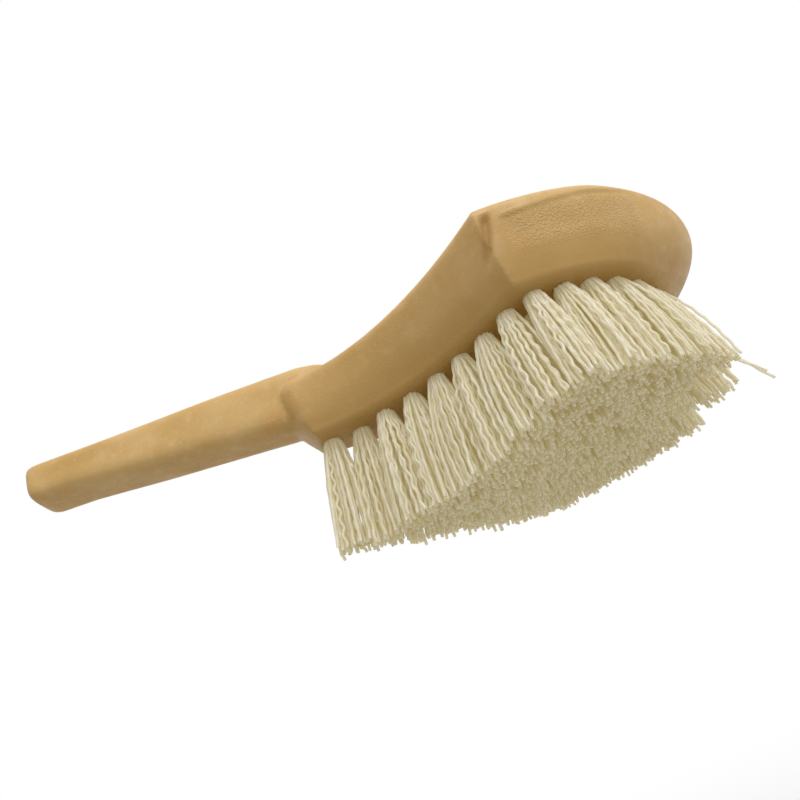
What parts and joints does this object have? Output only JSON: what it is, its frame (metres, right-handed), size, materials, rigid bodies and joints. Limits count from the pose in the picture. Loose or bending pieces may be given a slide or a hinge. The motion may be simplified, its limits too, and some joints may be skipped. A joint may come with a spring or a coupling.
{
  "type": "wheel brush",
  "caption": "Short-handled scrub brush for car wheels: spade-shaped one-piece plastic block and handle, set with flared tufts of crimped nylon filament.",
  "frame": {"origin": "centre of the bounding box at its bottom, on the plane of the longest bristle tips", "axes": "+X from the handle towards the nose of the head, +Z from the bristle tips up through the block, Y across the head, symmetric about y = 0"},
  "size_m": [0.2176, 0.0956, 0.064],
  "materials": {
    "block_plastic": "satin structural foam, tan, faintly mottled",
    "nylon_filament": "satin translucent ivory"
  },
  "bodies": {
    "root": {"block": "block_plastic", "tuft_near_01": "nylon_filament", "tuft_near_02": "nylon_filament", "tuft_near_03": "nylon_filament", "tuft_near_04": "nylon_filament", "tuft_near_05": "nylon_filament", "tuft_near_06": "nylon_filament", "tuft_near_07": "nylon_filament", "tuft_near_08": "nylon_filament", "tuft_near_09": "nylon_filament", "tuft_near_10": "nylon_filament", "tuft_near_11": "nylon_filament", "tuft_near_12": "nylon_filament", "tuft_far_01": "nylon_filament", "tuft_far_02": "nylon_filament", "tuft_far_03": "nylon_filament", "tuft_far_04": "nylon_filament", "tuft_far_05": "nylon_filament", "tuft_far_06": "nylon_filament", "tuft_far_07": "nylon_filament", "tuft_far_08": "nylon_filament", "tuft_far_09": "nylon_filament", "tuft_far_10": "nylon_filament", "tuft_far_11": "nylon_filament", "tuft_far_12": "nylon_filament", "tuft_inner_near_01": "nylon_filament", "tuft_inner_near_02": "nylon_filament", "tuft_inner_near_03": "nylon_filament", "tuft_inner_near_04": "nylon_filament", "tuft_inner_near_05": "nylon_filament", "tuft_inner_near_06": "nylon_filament", "tuft_inner_near_07": "nylon_filament", "tuft_inner_near_08": "nylon_filament", "tuft_inner_near_09": "nylon_filament", "tuft_inner_near_10": "nylon_filament", "tuft_inner_near_11": "nylon_filament", "tuft_inner_far_01": "nylon_filament", "tuft_inner_far_02": "nylon_filament", "tuft_inner_far_03": "nylon_filament", "tuft_inner_far_04": "nylon_filament", "tuft_inner_far_05": "nylon_filament", "tuft_inner_far_06": "nylon_filament", "tuft_inner_far_07": "nylon_filament", "tuft_inner_far_08": "nylon_filament", "tuft_inner_far_09": "nylon_filament", "tuft_inner_far_10": "nylon_filament", "tuft_inner_far_11": "nylon_filament", "tuft_centre_01": "nylon_filament", "tuft_centre_02": "nylon_filament", "tuft_centre_03": "nylon_filament", "tuft_centre_04": "nylon_filament", "tuft_centre_05": "nylon_filament", "tuft_centre_06": "nylon_filament", "tuft_centre_07": "nylon_filament", "tuft_centre_08": "nylon_filament"}
  },
  "joints": []
}
